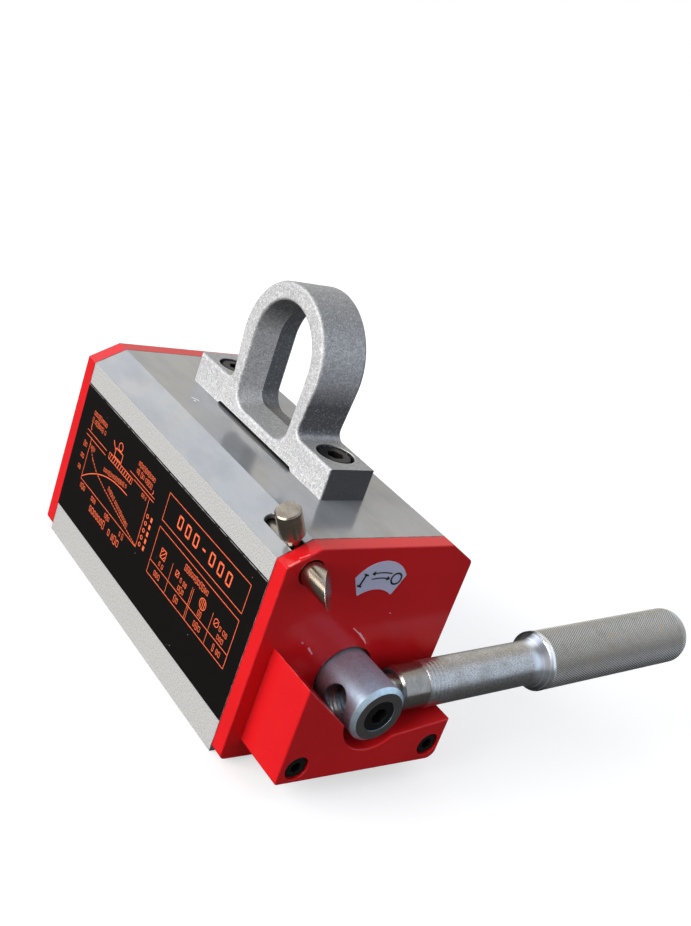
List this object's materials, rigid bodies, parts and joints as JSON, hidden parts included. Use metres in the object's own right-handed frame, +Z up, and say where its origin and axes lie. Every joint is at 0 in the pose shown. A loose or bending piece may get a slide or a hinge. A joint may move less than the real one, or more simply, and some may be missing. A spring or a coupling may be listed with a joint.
{
  "type": "permanent lifting magnet",
  "caption": "Lever-operated permanent lifting magnet: grey pole body with a V groove, red end plates, cast lifting eye, knurled swing handle, stop block and sprung safety latch.",
  "frame": {"origin": "middle of the magnetic working plane, level with the two pole faces", "axes": "+Z up towards the lifting eye, -Y towards the handle end, +X to the right seen from the handle end"},
  "size_m": [0.216, 0.1862, 0.1482],
  "materials": {
    "grey_paint": "satin",
    "red_paint": "gloss",
    "brass": "machined",
    "magnet_nickel": "nickel plated",
    "rotor_steel": "turned",
    "spindle_steel": "fine turned",
    "handle_steel": "turned, worn",
    "collar_steel": "ground",
    "knurled_steel": "diamond knurled",
    "cast_eye": "cast, silver coated",
    "black_oxide": "black oxide",
    "latch_steel": "nickel plated, worn",
    "spring_steel": "drawn wire",
    "label_black": "satin foil",
    "sticker_white": "gloss film"
  },
  "bodies": {
    "magnet_body": {"pole_left": "grey_paint", "pole_right": "grey_paint", "top_bar": "grey_paint", "upper_spacer": "brass", "lower_spacer": "brass", "front_plate": "red_paint", "rear_plate": "red_paint", "rear_plate_screws": "black_oxide", "front_plate_dowels": "rotor_steel", "front_bush": "brass", "rear_bush": "brass", "front_thrust_washer": "brass", "rear_thrust_washer": "brass", "stop_block": "red_paint", "stop_block_screws": "black_oxide", "lifting_eye": "cast_eye", "eye_screws": "black_oxide", "side_label": "label_black", "on_off_sticker": "sticker_white", "stator_magnet_1": "magnet_nickel", "stator_magnet_2": "magnet_nickel", "stator_magnet_3": "magnet_nickel", "latch_spring": "spring_steel"},
    "rotor": {"rotor_segment_a": "rotor_steel", "rotor_segment_b": "rotor_steel", "rotor_magnet_1": "magnet_nickel", "rotor_magnet_2": "magnet_nickel", "rotor_magnet_3": "magnet_nickel", "rotor_front_cap": "rotor_steel", "rotor_spindle": "spindle_steel", "rotor_rear_cap": "rotor_steel", "front_cap_screws": "black_oxide", "rear_cap_screws": "black_oxide", "spindle_set_screw": "black_oxide", "handle_stud": "handle_steel", "handle_collar": "collar_steel", "handle_rod": "handle_steel", "handle_grip": "knurled_steel"},
    "latch": {"latch_bolt": "latch_steel", "latch_knob": "latch_steel"}
  },
  "joints": [
    {"name": "handle_turn", "type": "hinge", "parent": "magnet_body", "child": "rotor", "pos_m": [0, -0.0929, 0.0329], "axis": [0, -1, 0], "range_deg": [0, 139.2]},
    {"name": "latch_slide", "type": "slide", "parent": "magnet_body", "child": "latch", "axis": [0, 1, 0], "range_m": [0, 0.015], "stiffness_N_per_m": 250, "springref_m": -0.012, "deforming": ["latch_spring"]}
  ],
  "couplings": [
    {"joint": "latch_slide", "follows": "handle_turn", "m_per_rad": 0.00617}
  ]
}
